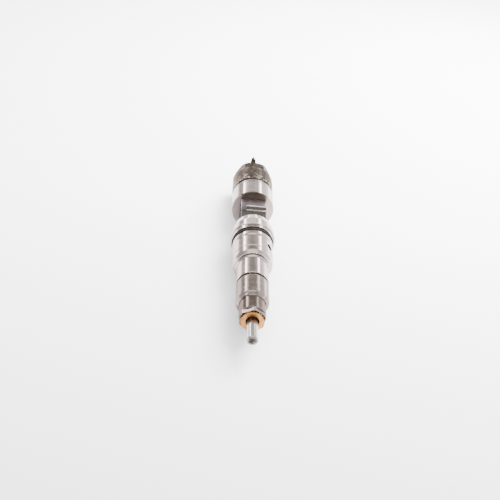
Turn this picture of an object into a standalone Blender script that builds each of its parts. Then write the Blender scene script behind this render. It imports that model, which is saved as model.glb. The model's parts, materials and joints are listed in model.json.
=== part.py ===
"""Common-rail diesel injector, lying along Y with its nozzle towards -Y and its terminals towards +Y.

Every length is in millimetres until MM turns it into metres. A station is a distance along the
injector's axis from the sealing face of the copper washer, positive towards the terminals. Turned
pieces are outlines of (station, radius) points: the outer side runs from the terminal end to the
nozzle end, and the inner side runs back again.
"""

import math

import bmesh
import bpy
from mathutils import Euler, Vector

MM = 0.001
MERGE = 1e-6
ROUND_STEPS = 28
INNER_STEPS = 20
FINE_STEPS = 16
CUTTER_RADIUS = 20.0
OVERRUN = 2.0

# Play between pieces that touch on the real injector.
GAP = 0.3

# Nozzle end.
NOZZLE_TIP = -19.8
NOZZLE_CONE = -17.0
NOZZLE_RADIUS = 3.5
NOZZLE_COLLAR_RADIUS = 7.05
NOZZLE_TOP = 22.0
NEEDLE_TOP = 25.0
WASHER_THICKNESS = 1.0
WASHER_RADIUS = 7.4
WASHER_BORE = 4.2
WASHER_TEETH = 26
NUT_FRONT = WASHER_THICKNESS + GAP
NUT_HEX_BACK = 4.9
NUT_HEX_FLATS = 15.0
NUT_HEX_TURN = math.radians(4.8)
NUT_NECK_RADIUS = 8.5
NUT_RADIUS = 10.5
NUT_HOLE_RADIUS = 3.9
NUT_BACK = 36.0

# Injector body, from the nozzle end back.
BODY_FRONT = NOZZLE_TOP + GAP
BODY_SHOULDER = NUT_BACK + 0.9
BODY_THREAD_RADIUS = 8.5
LOWER_RADIUS = 10.6
LOWER_BACK = 54.2
INLET_LAND_FRONT = 58.5
INLET_LAND_RADIUS = 13.7
SEAL_LAND_RADIUS = 14.0
RING_GROOVE_FRONT = 80.6
RING_GROOVE_BACK = 84.8
RING_GROOVE_RADIUS = 10.5
COLLAR_RADIUS = 15.5
COLLAR_FRONT = 88.6
COLLAR_BACK = 95.4
NECK_FRONT = 101.5
NECK_BACK = 130.2
NECK_HALF_WIDTH = 9.25
NECK_CORNER = 0.8
SLOT_FRONT = 115.9
SLOT_BACK = 120.9
SLOT_LEFT = -5.0
SLOT_DEPTH = 1.0
FLANGE_RADIUS = 15.55
FLANGE_BACK = 149.5
BODY_BACK = 165.0
CAP_THREAD_RADIUS = 13.3
RELIEF_RADIUS = 15.0

# High-pressure inlet, a seat cone bored square to the axis. The angle is from straight up towards +X.
INLET_STATION = 69.5
INLET_ANGLE = math.radians(52)
INLET_MOUTH_RADIUS = 2.6
INLET_BORE_RADIUS = 1.1
GALLERY_RADIUS = 0.8
GALLERY_OFFSET = 6.2

# Bores inside the body.
SPRING_CHAMBER_RADIUS = 4.1
SPRING_CHAMBER_BACK = 56.0
PLUNGER_BORE_RADIUS = 2.5
VALVE_STEM_FRONT = 119.7
VALVE_STEM_BORE = 4.65
VALVE_HEAD_FRONT = 135.0
VALVE_HEAD_BORE = 9.3
CHAMBER_FRONT = 141.1
CHAMBER_RADIUS = 10.9
SHIM_STEP = 159.0
SHIM_STEP_RADIUS = 12.0

# Solenoid end.
CAP_FRONT = 151.6
CAP_HEX_FRONT = 169.3
CAP_BACK = 180.3
CAP_RADIUS = 15.45
CAP_HEX_FLATS = 27.0
CAP_BORE = 13.6
CAP_STEP = 167.9
CAP_REAR_BORE = 12.25
CAP_RIM_RADIUS = 13.0
CAP_HOLE = 9.0
CAP_WALL = 3.2
MAGNET_FRONT = 155.8
MAGNET_BACK = 171.2
HOUSING_FRONT = 160.6
HOUSING_RADIUS = 11.9
HOUSING_BACK = CAP_BACK - CAP_WALL - GAP
INSULATOR_BACK = 183.5
STUD_OFFSET = 6.5
STUD_RADIUS = 2.0
TERMINAL_END = 200.7

# Moving pieces.
PLUNGER_RADIUS = 2.1
PLUNGER_FRONT = 34.0
PLUNGER_BACK = 134.3
BALL_STATION = 139.45
BALL_RADIUS = 0.65
ARMATURE_PIN_RADIUS = 1.4

# The origin is on the axis, halfway between the nozzle's tip and the ends of the studs.
SEAT_Y = -(NOZZLE_TIP + TERMINAL_END) / 2 * MM


def clear_scene():
    for obj in list(bpy.data.objects):
        bpy.data.objects.remove(obj)


def make_collection(name):
    collection = bpy.data.collections.new(name)
    bpy.context.scene.collection.children.link(collection)
    return collection


def make_material(name, color, roughness, metallic):
    material = bpy.data.materials.new(name)
    material.use_nodes = True
    shader = material.node_tree.nodes["Principled BSDF"]
    shader.inputs["Base Color"].default_value = (*color, 1)
    shader.inputs["Roughness"].default_value = roughness
    shader.inputs["Metallic"].default_value = metallic
    material.diffuse_color = (*color, 1)
    return material


def place(name, data, x=0.0, z=0.0):
    """Link a new object whose local zero station is the seat face, on the axis or beside it."""
    obj = bpy.data.objects.new(name, data)
    obj.location = (x * MM, SEAT_Y, z * MM)
    collection = cutters if name.startswith("cut_") else parts
    collection.objects.link(obj)
    if collection is cutters:
        obj.hide_render = True
        obj.display_type = "WIRE"
    return obj


def finish_part(obj, material):
    obj.data.materials.append(materials[material])
    return obj


def turned(name, outer, inner=(), steps=ROUND_STEPS, x=0.0, z=0.0):
    """Turn an outline about the Y axis. A facet, not an edge, faces straight down."""
    outline = [*outer, *inner]
    mesh = bpy.data.meshes.new(name)
    points = [(radius * MM, station * MM, 0) for station, radius in outline]
    edges = [(i, i + 1) for i in range(len(points) - 1)]
    if all(radius > 0 for _, radius in outline):
        edges.append((len(points) - 1, 0))
    mesh.from_pydata(points, edges, [])
    obj = place(name, mesh, x, z)
    obj.rotation_euler.y = math.pi / steps
    screw = obj.modifiers.new("Turn", "SCREW")
    screw.axis = "Y"
    screw.steps = steps
    screw.render_steps = steps
    screw.use_merge_vertices = True
    screw.merge_threshold = MERGE
    return obj


def circle(radius, count=ROUND_STEPS):
    angles = [math.tau * (i + 0.5) / count for i in range(count)]
    return [(radius * math.cos(a), radius * math.sin(a)) for a in angles]


def hexagon(across_flats, turn=0.0):
    """Corners of a hexagon with a flat facing up, turned clockwise as seen from the nozzle end."""
    corner_radius = across_flats / 2 / math.cos(math.pi / 6)
    angles = [math.tau * i / 6 - turn for i in range(6)]
    return [(corner_radius * math.cos(a), corner_radius * math.sin(a)) for a in angles]


def rounded_square(half_width, corner, count=4):
    """Square with corner arcs, in the plane across the axis."""
    points = []
    for quarter in range(4):
        start = quarter * math.pi / 2
        middle = start + math.pi / 4
        reach = (half_width - corner) * math.sqrt(2)
        for i in range(count + 1):
            a = start + math.pi / 2 * i / count
            points.append((
                reach * math.cos(middle) + corner * math.cos(a),
                reach * math.sin(middle) + corner * math.sin(a),
            ))
    return points


def serrated(radius, teeth, depth):
    """Circle with shallow teeth pressed into its edge."""
    points = []
    for i in range(2 * teeth):
        a = math.pi * i / teeth
        r = radius - depth * (i % 2)
        points.append((r * math.cos(a), r * math.sin(a)))
    return points


def slotted_disc(radius, slot_count, slot_half_width, slot_bottom, count=6):
    """Disc with open slots cut in from its edge."""
    mouth = math.asin(slot_half_width / radius)
    foot = math.asin(slot_half_width / slot_bottom)
    points = []
    for slot in range(slot_count):
        middle = math.tau * slot / slot_count + math.pi / slot_count
        following = middle + math.tau / slot_count
        points.append((slot_bottom * math.cos(middle - foot), slot_bottom * math.sin(middle - foot)))
        points.append((slot_bottom * math.cos(middle + foot), slot_bottom * math.sin(middle + foot)))
        for i in range(count + 1):
            a = middle + mouth + (following - middle - 2 * mouth) * i / count
            points.append((radius * math.cos(a), radius * math.sin(a)))
    return points


def open_ring(outer_radius, inner_radius, gap_angle, count=14):
    """Outline of a C-shaped ring."""
    span = math.tau - gap_angle
    angles = [gap_angle / 2 + span * i / count for i in range(count + 1)]
    outer = [(outer_radius * math.cos(a), outer_radius * math.sin(a)) for a in angles]
    inner = [(inner_radius * math.cos(a), inner_radius * math.sin(a)) for a in reversed(angles)]
    return outer + inner


def as_mesh(curve_object):
    """Replace a curve object with a mesh object whose caps are welded on."""
    bpy.context.view_layer.update()
    name = curve_object.name
    evaluated = curve_object.evaluated_get(bpy.context.evaluated_depsgraph_get())
    mesh = bpy.data.meshes.new_from_object(evaluated)
    matrix = curve_object.matrix_world.copy()
    bpy.data.objects.remove(curve_object)
    welded = bmesh.new()
    welded.from_mesh(mesh)
    bmesh.ops.remove_doubles(welded, verts=welded.verts, dist=MERGE)
    welded.to_mesh(mesh)
    welded.free()
    obj = place(name, mesh)
    obj.matrix_world = matrix
    return obj


def plate(name, front, back, *outlines):
    """Flat outlines across the axis, given as (x, z) points, made solid between two stations."""
    curve = bpy.data.curves.new(name, "CURVE")
    curve.dimensions = "2D"
    curve.fill_mode = "BOTH"
    curve.extrude = (back - front) / 2 * MM
    for outline in outlines:
        spline = curve.splines.new("POLY")
        spline.points.add(len(outline) - 1)
        spline.use_cyclic_u = True
        for point, (x, z) in zip(spline.points, outline):
            point.co = (x * MM, z * MM, 0, 1)
    obj = place(name, curve)
    obj.location.y += (front + back) / 2 * MM
    obj.rotation_euler.x = math.pi / 2
    return as_mesh(obj)


def coil_spring(name, front, back, mean_radius, wire_radius, turns):
    """Compression spring whose first and last turns close up, as one wire."""
    points_per_turn = 10
    closed_pitch = 2 * wire_radius + 0.15
    open_pitch = (back - front - 2 * wire_radius - 2 * closed_pitch) / (turns - 2)
    curve = bpy.data.curves.new(name, "CURVE")
    curve.dimensions = "3D"
    curve.bevel_depth = wire_radius * MM
    curve.bevel_resolution = 2
    curve.use_fill_caps = True
    spline = curve.splines.new("POLY")
    spline.points.add(turns * points_per_turn)
    for i, point in enumerate(spline.points):
        turn = i / points_per_turn
        closed_turns = min(turn, 1) + max(turn - (turns - 1), 0)
        open_turns = min(max(turn - 1, 0), turns - 2)
        station = front + wire_radius + closed_pitch * closed_turns + open_pitch * open_turns
        angle = math.tau * turn
        x = mean_radius * math.cos(angle)
        z = mean_radius * math.sin(angle)
        point.co = (x * MM, station * MM, z * MM, 1)
    return place(name, curve)


def o_ring(name, station, major_radius, minor_radius):
    """Ring of round cord, turned from a circle."""
    count = 8
    section = []
    for i in range(count):
        a = math.tau * i / count
        section.append((station + minor_radius * math.cos(a), major_radius + minor_radius * math.sin(a)))
    return turned(name, section)


def cut(obj, cutter):
    boolean = obj.modifiers.new(cutter.name, "BOOLEAN")
    boolean.operation = "DIFFERENCE"
    boolean.solver = "EXACT"
    boolean.object = cutter


def cut_bore(obj, name, radius, front, back, x=0.0, z=0.0):
    """Bore a straight hole along the axis, or beside it."""
    cut(obj, turned(name, [(back, 0), (back, radius), (front, radius), (front, 0)], steps=12, x=x, z=z))


def across(radius, angle):
    """Point at a radius from the axis, at an angle from straight up towards +X."""
    return radius * math.sin(angle), radius * math.cos(angle)


def face_inlet(obj):
    """Stand a turned shape on the axis at the inlet's station, with its stations running outwards."""
    x, z = across(1, INLET_ANGLE)
    turn = Vector((0, 1, 0)).rotation_difference(Vector((x, 0, z)))
    spin = Euler((0, obj.rotation_euler.y, 0)).to_quaternion()
    obj.rotation_mode = "QUATERNION"
    obj.rotation_quaternion = turn @ spin
    obj.location.y += INLET_STATION * MM
    return obj


def make_nozzle_body():
    body = turned(
        "nozzle_body",
        [(-18.0, 0), (-16.6, 1.5), (-1.5, 1.5), (-0.7, 2.3), (NOZZLE_TOP, 2.3)],
        [
            (NOZZLE_TOP, 6.6), (NOZZLE_TOP - 0.45, NOZZLE_COLLAR_RADIUS),
            (5.8, NOZZLE_COLLAR_RADIUS), (5.8, NOZZLE_RADIUS), (NOZZLE_CONE, NOZZLE_RADIUS),
            (-19.1, 1.1), (-19.6, 0.7), (NOZZLE_TIP, 0),
        ],
        steps=INNER_STEPS,
    )
    for name, (x, z) in dowel_places.items():
        cut_bore(body, "cut_nozzle_" + name, 0.9, 19.0, NOZZLE_TOP + OVERRUN, x, z)
    return body


def make_nozzle_needle():
    return turned(
        "nozzle_needle",
        [
            (NEEDLE_TOP, 0), (NEEDLE_TOP, 1.3), (21.4, 1.3), (21.4, 1.95), (4.0, 1.95), (3.2, 1.15),
            (-16.1, 1.15), (-17.4, 0),
        ],
        steps=FINE_STEPS,
    )


def make_dowel_pin(name):
    x, z = dowel_places[name]
    return turned(
        name,
        [(25.0, 0), (25.0, 0.45), (24.8, 0.6), (19.5, 0.6), (19.3, 0.45), (19.3, 0)],
        steps=12, x=x, z=z,
    )


def make_nozzle_nut():
    nut = turned(
        "nozzle_retaining_nut",
        [
            (NUT_BACK, 10.1), (NUT_BACK - 1.5, NUT_RADIUS), (17.6, NUT_RADIUS),
            (16.0, NUT_NECK_RADIUS), (NUT_FRONT + 0.7, NUT_NECK_RADIUS), (NUT_FRONT, 7.9),
        ],
        [
            (NUT_FRONT, NUT_HOLE_RADIUS), (5.4, NUT_HOLE_RADIUS), (5.4, 7.4), (18.4, 7.4),
            (19.4, BODY_THREAD_RADIUS + GAP), (NUT_BACK, BODY_THREAD_RADIUS + GAP),
        ],
    )
    hex_outline = hexagon(NUT_HEX_FLATS, math.pi / 6 + NUT_HEX_TURN)
    cut(nut, plate(
        "cut_nut_hex", NUT_FRONT - OVERRUN, NUT_HEX_BACK, circle(CUTTER_RADIUS), hex_outline
    ))
    return nut


def make_copper_washer():
    edge = serrated(WASHER_RADIUS, WASHER_TEETH, 0.4)
    return plate("copper_seal_washer", 0, WASHER_THICKNESS, edge, circle(WASHER_BORE))


def make_pressure_pin():
    return turned(
        "pressure_pin",
        [
            (PLUNGER_FRONT - GAP, 0), (PLUNGER_FRONT - GAP, 1.5), (32.9, 1.9), (28.4, 1.9),
            (28.4, 3.7), (26.8, 3.7), (26.8, 1.8), (NEEDLE_TOP + GAP, 1.8), (NEEDLE_TOP + GAP, 0),
        ],
        steps=FINE_STEPS,
    )


def make_nozzle_spring_shim():
    return turned(
        "nozzle_spring_shim",
        [(SPRING_CHAMBER_BACK - GAP, 3.7), (54.2, 3.7)],
        [(54.2, 2.55), (SPRING_CHAMBER_BACK - GAP, 2.55)],
        steps=FINE_STEPS,
    )


def make_injector_body():
    body = turned(
        "injector_body",
        [
            (BODY_BACK, 12.8), (BODY_BACK - 0.5, CAP_THREAD_RADIUS),
            (CAP_FRONT - GAP, CAP_THREAD_RADIUS), (CAP_FRONT - GAP, RELIEF_RADIUS),
            (FLANGE_BACK + 0.1, RELIEF_RADIUS), (FLANGE_BACK, 15.3), (FLANGE_BACK - 0.3, FLANGE_RADIUS),
            # The chamfers beside the neck run on past its ends, where the neck's cutter meets them.
            (NECK_BACK + 0.4, FLANGE_RADIUS), (NECK_BACK - 1.2, 13.95), (NECK_FRONT + 1, 13.52),
            (COLLAR_BACK, 15.0), (COLLAR_FRONT, COLLAR_RADIUS), (COLLAR_FRONT - 0.3, 14.75),
            (RING_GROOVE_BACK, 14.6), (RING_GROOVE_BACK, RING_GROOVE_RADIUS),
            (RING_GROOVE_FRONT, RING_GROOVE_RADIUS), (RING_GROOVE_FRONT, SEAL_LAND_RADIUS),
            (77.6, SEAL_LAND_RADIUS), (75.7, INLET_LAND_RADIUS), (63.7, INLET_LAND_RADIUS),
            (63.4, 13.45), (INLET_LAND_FRONT, 13.4), (56.2, 12.0), (56.1, 10.9), (55.2, 10.9), (55.1, 11.4),
            (LOWER_BACK, LOWER_RADIUS), (BODY_SHOULDER + 0.3, LOWER_RADIUS), (BODY_SHOULDER, 10.3),
            (BODY_SHOULDER, BODY_THREAD_RADIUS), (BODY_FRONT + 0.7, BODY_THREAD_RADIUS),
            (BODY_FRONT, 7.9),
        ],
        [
            (BODY_FRONT, SPRING_CHAMBER_RADIUS), (SPRING_CHAMBER_BACK, SPRING_CHAMBER_RADIUS),
            (SPRING_CHAMBER_BACK, PLUNGER_BORE_RADIUS), (VALVE_STEM_FRONT, PLUNGER_BORE_RADIUS),
            (VALVE_STEM_FRONT, VALVE_STEM_BORE), (VALVE_HEAD_FRONT, VALVE_STEM_BORE),
            (VALVE_HEAD_FRONT, VALVE_HEAD_BORE), (CHAMBER_FRONT, VALVE_HEAD_BORE),
            (CHAMBER_FRONT, CHAMBER_RADIUS), (SHIM_STEP, CHAMBER_RADIUS),
            (SHIM_STEP, SHIM_STEP_RADIUS), (BODY_BACK, SHIM_STEP_RADIUS),
        ],
    )
    neck_outline = rounded_square(NECK_HALF_WIDTH, NECK_CORNER)
    cut(body, plate("cut_neck", NECK_FRONT, NECK_BACK, circle(CUTTER_RADIUS), neck_outline))
    slot_floor = NECK_HALF_WIDTH - SLOT_DEPTH
    slot = [
        (SLOT_LEFT, slot_floor), (CUTTER_RADIUS, slot_floor),
        (CUTTER_RADIUS, CUTTER_RADIUS), (SLOT_LEFT, CUTTER_RADIUS),
    ]
    cut(body, plate("cut_index_slot", SLOT_FRONT, SLOT_BACK, slot))
    cut(body, face_inlet(turned(
        "cut_inlet",
        [
            (INLET_LAND_RADIUS + 0.2 + OVERRUN, 0), (INLET_LAND_RADIUS + 0.2 + OVERRUN, INLET_MOUTH_RADIUS),
            (INLET_LAND_RADIUS + 0.2, INLET_MOUTH_RADIUS), (11.2, INLET_BORE_RADIUS),
            (5.6, INLET_BORE_RADIUS), (5.0, 0),
        ],
        steps=FINE_STEPS,
    )))
    x, z = across(GALLERY_OFFSET, INLET_ANGLE)
    cut_bore(body, "cut_gallery", GALLERY_RADIUS, BODY_FRONT - OVERRUN, INLET_STATION, x, z)
    for name, (x, z) in dowel_places.items():
        cut_bore(body, "cut_body_" + name, 0.9, BODY_FRONT - OVERRUN, 25.4, x, z)
    cut_bore(body, "cut_flange_dimple", 0.7, NECK_BACK - OVERRUN, NECK_BACK + 0.6, 0, 11.0)
    return body


def make_inlet_edge_filter():
    return face_inlet(turned(
        "inlet_edge_filter",
        [(11.0, 0), (11.0, 0.5), (10.7, 0.75), (7.5, 0.75), (7.2, 0.5), (7.2, 0)],
        steps=12,
    ))


def make_body_o_ring():
    return o_ring("body_o_ring", (RING_GROOVE_FRONT + RING_GROOVE_BACK) / 2, 12.7, 1.6)


def make_control_plunger():
    return turned(
        "control_plunger",
        [
            (PLUNGER_BACK, 0), (PLUNGER_BACK, 1.8), (PLUNGER_BACK - 0.4, PLUNGER_RADIUS),
            (104.0, PLUNGER_RADIUS), (103.0, 1.85), (PLUNGER_FRONT + 0.3, 1.85),
            (PLUNGER_FRONT, 1.5), (PLUNGER_FRONT, 0),
        ],
        steps=FINE_STEPS,
    )


def make_valve_piece():
    return turned(
        "valve_piece",
        [
            (138.5, 8.6), (138.1, 8.9), (VALVE_HEAD_FRONT + GAP, 8.9), (VALVE_HEAD_FRONT + GAP, 4.3),
            (123.2, 4.3), (123.2, 3.3), (VALVE_STEM_FRONT + GAP, 3.3),
        ],
        [(VALVE_STEM_FRONT + GAP, 2.45), (135.2, 2.45), (135.9, 0.4), (138.1, 0.4), (138.5, 0.8)],
        steps=INNER_STEPS,
    )


def make_valve_piece_seal():
    return turned(
        "valve_piece_seal",
        [(122.8, 4.3), (120.3, 4.3)],
        [(120.3, 3.65), (122.8, 3.65)],
        steps=FINE_STEPS,
    )


def make_valve_ball():
    bpy.ops.mesh.primitive_uv_sphere_add(segments=16, ring_count=8, radius=BALL_RADIUS * MM)
    mesh = bpy.context.object.data
    bpy.data.objects.remove(bpy.context.object)
    ball = place("valve_ball", mesh)
    ball.location.y += BALL_STATION * MM
    return ball


def make_ball_holder():
    front = BALL_STATION + 0.05
    return turned(
        "ball_holder",
        [(141.6, 0), (141.6, 1.5), (141.4, 1.75), (front, 1.75), (front, 1.35), (front + 1.25, 0)],
        steps=FINE_STEPS,
    )


def make_armature_guide():
    return turned(
        "armature_guide",
        [
            (149.0, 2.9), (146.4, 2.9), (146.4, 4.4), (CHAMBER_FRONT - 0.1, 4.4),
            (CHAMBER_FRONT - 0.1, 8.9), (138.8, 8.9),
        ],
        [(138.8, 2.15), (142.0, 2.15), (142.4, 1.75), (149.0, 1.75)],
        steps=FINE_STEPS,
    )


def make_armature_clamp_nut():
    return plate(
        "armature_clamp_nut", CHAMBER_FRONT + GAP, 146.2, circle(CHAMBER_RADIUS - GAP), hexagon(9.8)
    )


def make_armature_pin():
    return turned(
        "armature_pin",
        [
            (157.8, 0), (157.8, 1.1), (157.5, ARMATURE_PIN_RADIUS), (156.8, ARMATURE_PIN_RADIUS),
            (156.8, 1.0), (155.6, 1.0), (155.6, ARMATURE_PIN_RADIUS), (142.2, ARMATURE_PIN_RADIUS),
            (141.95, 1.1), (141.95, 0),
        ],
        steps=FINE_STEPS,
    )


def make_armature_plate():
    outline = slotted_disc(8.0, 4, 1.1, 4.4)
    return plate("armature_plate", 153.6, 155.35, outline, circle(ARMATURE_PIN_RADIUS + GAP, 16))


def make_armature_c_washer():
    return plate("armature_c_washer", 155.9, 156.5, open_ring(2.9, 1.35, math.radians(70)))


def make_air_gap_shim():
    return turned(
        "air_gap_shim",
        [(HOUSING_FRONT - GAP, 11.65), (SHIM_STEP + GAP, 11.65)],
        [(SHIM_STEP + GAP, 10.95), (HOUSING_FRONT - GAP, 10.95)],
        steps=INNER_STEPS,
    )


def make_magnet_core():
    core = turned(
        "magnet_core",
        [
            (MAGNET_BACK, 10.0), (MAGNET_FRONT, 10.0), (MAGNET_FRONT, 8.7), (166.0, 8.7),
            (166.0, 5.5), (MAGNET_FRONT, 5.5), (MAGNET_FRONT, 3.7), (MAGNET_BACK, 3.7),
        ],
        steps=INNER_STEPS,
    )
    for name, z in stud_places.items():
        cut_bore(core, "cut_core_" + name, 1.0, 165.0, MAGNET_BACK + OVERRUN, z=z)
    return core


def make_coil_bobbin():
    return turned(
        "coil_bobbin",
        [
            (165.6, 8.35), (164.9, 8.35), (164.9, 6.5), (156.9, 6.5), (156.9, 8.35), (156.2, 8.35),
            (156.2, 5.85), (165.6, 5.85),
        ],
        steps=INNER_STEPS,
    )


def make_coil_winding():
    section = [(164.6, 8.2), (157.2, 8.2), (157.2, 6.8), (164.6, 6.8)]
    return turned("coil_winding", section, steps=INNER_STEPS)


def make_spring_preload_shim():
    return turned(
        "spring_preload_shim",
        [(170.9, 3.3), (170.0, 3.3)],
        [(170.0, 1.0), (170.9, 1.0)],
        steps=FINE_STEPS,
    )


def make_magnet_housing():
    return turned(
        "magnet_housing",
        [
            (HOUSING_BACK, 11.5), (HOUSING_BACK - 0.4, HOUSING_RADIUS), (171.0, HOUSING_RADIUS),
            (171.0, 11.0), (169.6, 11.0), (169.6, HOUSING_RADIUS), (CAP_STEP - GAP, HOUSING_RADIUS),
            (CAP_STEP - GAP, 13.2), (BODY_BACK + GAP, 13.2), (BODY_BACK + GAP, 11.65),
            (HOUSING_FRONT, 11.65),
        ],
        [
            (HOUSING_FRONT, 10.35), (MAGNET_BACK + GAP, 10.35), (MAGNET_BACK + GAP, CAP_HOLE),
            (HOUSING_BACK, CAP_HOLE),
        ],
    )


def make_solenoid_o_ring():
    return o_ring("solenoid_o_ring", 170.3, 11.6, 0.4)


def make_cap_nut():
    inner_wall = CAP_BACK - CAP_WALL
    cap = turned(
        "solenoid_cap_nut",
        [
            (CAP_BACK, CAP_RIM_RADIUS), (CAP_BACK - 1.0, 14.1), (CAP_BACK - 3.2, CAP_RADIUS),
            (CAP_FRONT + 0.4, CAP_RADIUS), (CAP_FRONT, CAP_RADIUS - 0.4),
        ],
        [
            (CAP_FRONT, CAP_BORE), (CAP_STEP, CAP_BORE), (CAP_STEP, CAP_REAR_BORE),
            (inner_wall, CAP_REAR_BORE), (inner_wall, CAP_HOLE), (CAP_BACK, CAP_HOLE),
        ],
    )
    hex_outline = hexagon(CAP_HEX_FLATS)
    cut(cap, plate(
        "cut_cap_hex", CAP_HEX_FRONT, CAP_BACK + OVERRUN, circle(CUTTER_RADIUS), hex_outline
    ))
    return cap


def make_terminal_insulator():
    front = MAGNET_BACK + 2 * GAP
    insulator = turned(
        "terminal_insulator",
        [
            (INSULATOR_BACK, 0), (INSULATOR_BACK, 8.2), (INSULATOR_BACK - 0.5, CAP_HOLE - GAP),
            (front, CAP_HOLE - GAP), (front, 0),
        ],
    )
    for name, z in stud_places.items():
        cut_bore(insulator, "cut_insulator_" + name, 1.55, 170.0, INSULATOR_BACK + OVERRUN, z=z)
    return insulator


def make_terminal_stud(name):
    """Threaded stud with a seating collar, a shank through the insulator and a tag into the coil."""
    return turned(
        name,
        [
            (TERMINAL_END, 0), (TERMINAL_END, 1.1), (196.0, STUD_RADIUS), (185.2, STUD_RADIUS),
            (185.2, 2.7), (INSULATOR_BACK + GAP, 2.7), (INSULATOR_BACK + GAP, 1.25), (172.2, 1.25),
            (172.2, 0.7), (166.6, 0.7), (166.6, 0),
        ],
        steps=16, z=stud_places[name],
    )


def build():
    steel = "bright_steel"
    finish_part(make_injector_body(), "ground_steel")
    finish_part(make_nozzle_nut(), "phosphated_steel")
    finish_part(make_nozzle_body(), steel)
    finish_part(make_nozzle_needle(), steel)
    finish_part(make_pressure_pin(), steel)
    finish_part(coil_spring("nozzle_spring", 28.75, 53.85, 3.2, 0.65, 6), "spring_steel")
    finish_part(make_nozzle_spring_shim(), steel)
    for name in dowel_places:
        finish_part(make_dowel_pin(name), steel)
    finish_part(make_copper_washer(), "copper")
    finish_part(make_body_o_ring(), "rubber")
    finish_part(make_inlet_edge_filter(), steel)
    finish_part(make_control_plunger(), steel)
    finish_part(make_valve_piece(), steel)
    finish_part(make_valve_piece_seal(), "white_plastic")
    finish_part(make_valve_ball(), steel)
    finish_part(make_ball_holder(), steel)
    finish_part(make_armature_guide(), steel)
    finish_part(make_armature_clamp_nut(), "phosphated_steel")
    finish_part(make_armature_pin(), steel)
    finish_part(make_armature_plate(), "magnet_iron")
    finish_part(make_armature_c_washer(), "spring_steel")
    finish_part(coil_spring("armature_return_spring", 146.7, 153.3, 3.6, 0.35, 4), "spring_steel")
    finish_part(make_air_gap_shim(), steel)
    finish_part(make_magnet_core(), "magnet_iron")
    finish_part(make_coil_bobbin(), "black_plastic")
    finish_part(make_coil_winding(), "winding_wire")
    finish_part(coil_spring("magnet_spring", 156.8, 169.7, 2.25, 0.4, 5), "spring_steel")
    finish_part(make_spring_preload_shim(), steel)
    finish_part(make_magnet_housing(), "ground_steel")
    finish_part(make_solenoid_o_ring(), "rubber")
    finish_part(make_cap_nut(), "dark_steel")
    finish_part(make_terminal_insulator(), "black_plastic")
    for name in stud_places:
        finish_part(make_terminal_stud(name), "stud_steel")


def shade_round_parts():
    for obj in parts.objects:
        if obj.type != "MESH":
            continue
        smooth = obj.modifiers.get("Turn")
        if smooth:
            smooth.use_smooth_shade = True
        obj.data.shade_smooth()


clear_scene()
parts = make_collection("fuel_injector")
cutters = make_collection("cutters")
cutters.hide_render = True
materials = {
    "ground_steel": make_material("ground_steel", (0.62, 0.58, 0.57), 0.25, 1),
    "bright_steel": make_material("bright_steel", (0.72, 0.70, 0.68), 0.2, 1),
    "phosphated_steel": make_material("phosphated_steel", (0.42, 0.37, 0.34), 0.4, 1),
    "dark_steel": make_material("dark_steel", (0.25, 0.21, 0.19), 0.45, 1),
    "spring_steel": make_material("spring_steel", (0.30, 0.30, 0.32), 0.35, 1),
    "magnet_iron": make_material("magnet_iron", (0.22, 0.22, 0.23), 0.5, 1),
    "copper": make_material("copper", (0.80, 0.42, 0.22), 0.35, 1),
    "winding_wire": make_material("winding_wire", (0.60, 0.25, 0.12), 0.35, 1),
    "stud_steel": make_material("stud_steel", (0.42, 0.38, 0.33), 0.35, 1),
    "rubber": make_material("rubber", (0.03, 0.03, 0.03), 0.6, 0),
    "black_plastic": make_material("black_plastic", (0.04, 0.04, 0.04), 0.5, 0),
    "white_plastic": make_material("white_plastic", (0.80, 0.78, 0.72), 0.5, 0),
}
dowel_places = {
    "dowel_pin_left": across(5.6, math.radians(-100)),
    "dowel_pin_right": across(5.6, math.radians(150)),
}
stud_places = {"terminal_stud_upper": STUD_OFFSET, "terminal_stud_lower": -STUD_OFFSET}
build()
shade_round_parts()
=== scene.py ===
"""Looks of a common-rail diesel injector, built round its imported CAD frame.

The injector lies along Y with its nozzle towards -Y. A station is a distance in millimetres along its
axis, from the copper washer's front face towards the terminals. Turned pieces are outlines of
(station, radius) points: the outer side runs from the terminal end to the nozzle end, and the inner
side runs back again. An angle round the axis is measured from straight up towards +X.
"""

import json
import math

import bmesh
import bpy
from mathutils import Matrix, Vector

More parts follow.
